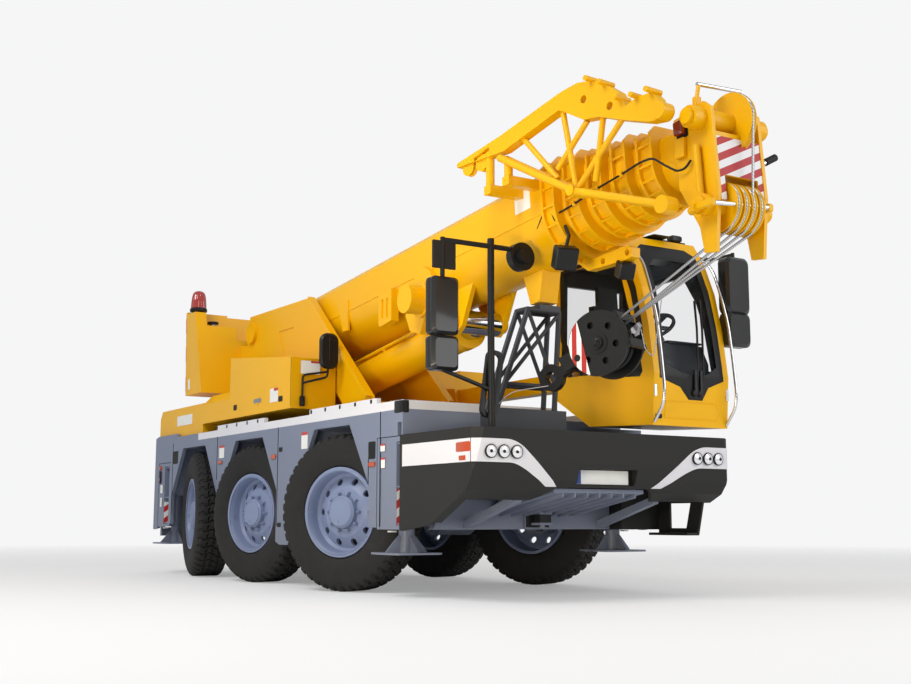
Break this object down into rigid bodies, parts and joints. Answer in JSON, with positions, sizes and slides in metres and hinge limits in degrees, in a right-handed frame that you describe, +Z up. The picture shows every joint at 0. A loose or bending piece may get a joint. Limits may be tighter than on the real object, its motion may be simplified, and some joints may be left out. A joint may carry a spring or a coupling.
{
  "type": "mobile crane",
  "caption": "Compact truck crane with all-wheel steering, telescopic boom on its rest, stowed folding jib, side-slung cab and outriggers.",
  "frame": {"origin": "on the ground under the middle of the machine's bounding box", "axes": "+X forward, +Y to the machine's left, +Z up"},
  "size_m": [8.9573, 2.9895, 3.7547],
  "materials": {
    "yellow_paint": "gloss enamel",
    "blue_grey_paint": "satin enamel",
    "rim_paint": "satin enamel",
    "tyre_rubber": "moulded",
    "dark_bumper": "moulded",
    "white_rail": "satin",
    "black_frame": "satin",
    "lamp_glass": "clear",
    "window_glass": "tinted",
    "iron": "raw",
    "black_trim": "moulded"
  },
  "bodies": {
    "carrier": {"chassis_frame": "blue_grey_paint", "axle_beams": "blue_grey_paint", "outrigger_boxes": "blue_grey_paint", "body_panels": "blue_grey_paint", "arch_liners": "blue_grey_paint", "deck": "blue_grey_paint", "deck_rails": "white_rail", "front_bumper": "dark_bumper", "headlamps": "lamp_glass", "nose_frame": "blue_grey_paint", "engine_hood": "yellow_paint", "engine_block": "iron", "boom_rest": "black_frame", "mirror_frame": "black_frame"},
    "steer_front_left": {"knuckle_front_left": "blue_grey_paint"},
    "wheel_front_left": {"tyre_front_left": "tyre_rubber", "rim_front_left": "rim_paint"},
    "steer_front_right": {"knuckle_front_right": "blue_grey_paint"},
    "wheel_front_right": {"tyre_front_right": "tyre_rubber", "rim_front_right": "rim_paint"},
    "steer_middle_left": {"knuckle_middle_left": "blue_grey_paint"},
    "wheel_middle_left": {"tyre_middle_left": "tyre_rubber", "rim_middle_left": "rim_paint"},
    "steer_middle_right": {"knuckle_middle_right": "blue_grey_paint"},
    "wheel_middle_right": {"tyre_middle_right": "tyre_rubber", "rim_middle_right": "rim_paint"},
    "steer_rear_left": {"knuckle_rear_left": "blue_grey_paint"},
    "wheel_rear_left": {"tyre_rear_left": "tyre_rubber", "rim_rear_left": "rim_paint"},
    "steer_rear_right": {"knuckle_rear_right": "blue_grey_paint"},
    "wheel_rear_right": {"tyre_rear_right": "tyre_rubber", "rim_rear_right": "rim_paint"},
    "outrigger_front_left": {"outrigger_beam_front_left": "blue_grey_paint"},
    "jack_front_left": {"jack_front_left": "blue_grey_paint"},
    "outrigger_front_right": {"outrigger_beam_front_right": "blue_grey_paint"},
    "jack_front_right": {"jack_front_right": "blue_grey_paint"},
    "outrigger_rear_left": {"outrigger_beam_rear_left": "blue_grey_paint"},
    "jack_rear_left": {"jack_rear_left": "blue_grey_paint"},
    "outrigger_rear_right": {"outrigger_beam_rear_right": "blue_grey_paint"},
    "jack_rear_right": {"jack_rear_right": "blue_grey_paint"},
    "superstructure": {"turntable": "yellow_paint", "counterweight": "yellow_paint", "right_cabinet": "yellow_paint", "left_housing": "yellow_paint"},
    "boom": {"boom_base": "yellow_paint", "folding_jib": "yellow_paint"},
    "barrel": {"cylinder_barrel": "yellow_paint"},
    "rod": {"cylinder_rod": "yellow_paint"},
    "section_1": {"boom_section_1": "yellow_paint"},
    "section_2": {"boom_section_2": "yellow_paint"},
    "section_3": {"boom_section_3": "yellow_paint"},
    "section_4": {"boom_section_4": "yellow_paint"},
    "head": {"boom_head": "yellow_paint", "hook_block": "black_frame"},
    "cab_lift": {"cab_arm": "yellow_paint"},
    "cab": {"cab_shell": "yellow_paint", "cab_interior": "black_trim", "cab_glass": "window_glass", "cab_mirror": "black_frame"},
    "cab_door": {"cab_door": "yellow_paint"}
  },
  "joints": [
    {"name": "steer_front_left", "type": "hinge", "parent": "carrier", "child": "steer_front_left", "pos_m": [0.28, 0.938, 0.685], "axis": [0, 0, 1], "range_deg": [-59, 11]},
    {"name": "spin_front_left", "type": "hinge", "parent": "steer_front_left", "child": "wheel_front_left", "pos_m": [0.28, 0.938, 0.685], "axis": [-0.4067, 0.9135, 0], "continuous": true},
    {"name": "steer_front_right", "type": "hinge", "parent": "carrier", "child": "steer_front_right", "pos_m": [0.28, -0.938, 0.685], "axis": [0, 0, 1], "range_deg": [-59, 11]},
    {"name": "spin_front_right", "type": "hinge", "parent": "steer_front_right", "child": "wheel_front_right", "pos_m": [0.28, -0.938, 0.685], "axis": [-0.4067, 0.9135, 0], "continuous": true},
    {"name": "steer_middle_left", "type": "hinge", "parent": "carrier", "child": "steer_middle_left", "pos_m": [-1.603, 0.938, 0.685], "axis": [0, 0, 1], "range_deg": [-33, 7]},
    {"name": "spin_middle_left", "type": "hinge", "parent": "steer_middle_left", "child": "wheel_middle_left", "pos_m": [-1.603, 0.938, 0.685], "axis": [-0.225, 0.9744, 0], "continuous": true},
    {"name": "steer_middle_right", "type": "hinge", "parent": "carrier", "child": "steer_middle_right", "pos_m": [-1.603, -0.938, 0.685], "axis": [0, 0, 1], "range_deg": [-33, 7]},
    {"name": "spin_middle_right", "type": "hinge", "parent": "steer_middle_right", "child": "wheel_middle_right", "pos_m": [-1.603, -0.938, 0.685], "axis": [-0.225, 0.9744, 0], "continuous": true},
    {"name": "steer_rear_left", "type": "hinge", "parent": "carrier", "child": "steer_rear_left", "pos_m": [-3.182, 0.938, 0.685], "axis": [0, 0, 1], "range_deg": [-8, 32]},
    {"name": "spin_rear_left", "type": "hinge", "parent": "steer_rear_left", "child": "wheel_rear_left", "pos_m": [-3.182, 0.938, 0.685], "axis": [0.2079, 0.9781, 0], "continuous": true},
    {"name": "steer_rear_right", "type": "hinge", "parent": "carrier", "child": "steer_rear_right", "pos_m": [-3.182, -0.938, 0.685], "axis": [0, 0, 1], "range_deg": [-8, 32]},
    {"name": "spin_rear_right", "type": "hinge", "parent": "steer_rear_right", "child": "wheel_rear_right", "pos_m": [-3.182, -0.938, 0.685], "axis": [0.2079, 0.9781, 0], "continuous": true},
    {"name": "outrigger_front_left", "type": "slide", "parent": "carrier", "child": "outrigger_front_left", "axis": [0, 1, 0], "range_m": [0, 1.75]},
    {"name": "jack_front_left", "type": "slide", "parent": "outrigger_front_left", "child": "jack_front_left", "axis": [0, 0, -1], "range_m": [0, 0.34]},
    {"name": "outrigger_front_right", "type": "slide", "parent": "carrier", "child": "outrigger_front_right", "axis": [0, -1, 0], "range_m": [0, 1.75]},
    {"name": "jack_front_right", "type": "slide", "parent": "outrigger_front_right", "child": "jack_front_right", "axis": [0, 0, -1], "range_m": [0, 0.34]},
    {"name": "outrigger_rear_left", "type": "slide", "parent": "carrier", "child": "outrigger_rear_left", "axis": [0, 1, 0], "range_m": [0, 1.75]},
    {"name": "jack_rear_left", "type": "slide", "parent": "outrigger_rear_left", "child": "jack_rear_left", "axis": [0, 0, -1], "range_m": [0, 0.34]},
    {"name": "outrigger_rear_right", "type": "slide", "parent": "carrier", "child": "outrigger_rear_right", "axis": [0, -1, 0], "range_m": [0, 1.75]},
    {"name": "jack_rear_right", "type": "slide", "parent": "outrigger_rear_right", "child": "jack_rear_right", "axis": [0, 0, -1], "range_m": [0, 0.34]},
    {"name": "slew", "type": "hinge", "parent": "carrier", "child": "superstructure", "pos_m": [-0.92, 0, 1.6], "axis": [0, 0, 1], "range_deg": [0, 120]},
    {"name": "luff", "type": "hinge", "parent": "superstructure", "child": "boom", "pos_m": [-2.9, -0.25, 2.73], "axis": [0, -1, 0], "range_deg": [0, 75]},
    {"name": "barrel_swing", "type": "hinge", "parent": "superstructure", "child": "barrel", "pos_m": [-1.5, -0.25, 1.96], "axis": [0, -1, 0], "range_deg": [-1, 82.62]},
    {"name": "rod_slide", "type": "slide", "parent": "barrel", "child": "rod", "axis": [0.9904, 0, 0.1383], "range_m": [-0.005, 1.9129]},
    {"name": "telescope_1", "type": "slide", "parent": "boom", "child": "section_1", "axis": [0.996, 0, 0.0889], "range_m": [0, 4.4]},
    {"name": "telescope_2", "type": "slide", "parent": "section_1", "child": "section_2", "axis": [0.996, 0, 0.0889], "range_m": [0, 4.4]},
    {"name": "telescope_3", "type": "slide", "parent": "section_2", "child": "section_3", "axis": [0.996, 0, 0.0889], "range_m": [0, 4.4]},
    {"name": "telescope_4", "type": "slide", "parent": "section_3", "child": "section_4", "axis": [0.996, 0, 0.0889], "range_m": [0, 4.4]},
    {"name": "telescope_5", "type": "slide", "parent": "section_4", "child": "head", "axis": [0.996, 0, 0.0889], "range_m": [0, 4.4]},
    {"name": "cab_arm_lift", "type": "hinge", "parent": "superstructure", "child": "cab_lift", "pos_m": [-0.56, 0.63, 1.85], "axis": [0, -1, 0], "range_deg": [0, 50]},
    {"name": "cab_level", "type": "hinge", "parent": "cab_lift", "child": "cab", "pos_m": [1.3, 0.63, 1.85], "axis": [0, -1, 0], "range_deg": [-50, 0]},
    {"name": "cab_door_slide", "type": "slide", "parent": "cab", "child": "cab_door", "axis": [-1, 0, 0], "range_m": [0, 0.85]}
  ],
  "couplings": [
    {"joint": "steer_front_right", "follows": "steer_front_left", "ratio": 1},
    {"joint": "steer_middle_right", "follows": "steer_middle_left", "ratio": 1},
    {"joint": "steer_rear_right", "follows": "steer_rear_left", "ratio": 1},
    {"joint": "barrel_swing", "follows": "luff", "ratio": 1.0882},
    {"joint": "rod_slide", "follows": "luff", "m_per_rad": 1.4537},
    {"joint": "cab_level", "follows": "cab_arm_lift", "ratio": -1}
  ]
}
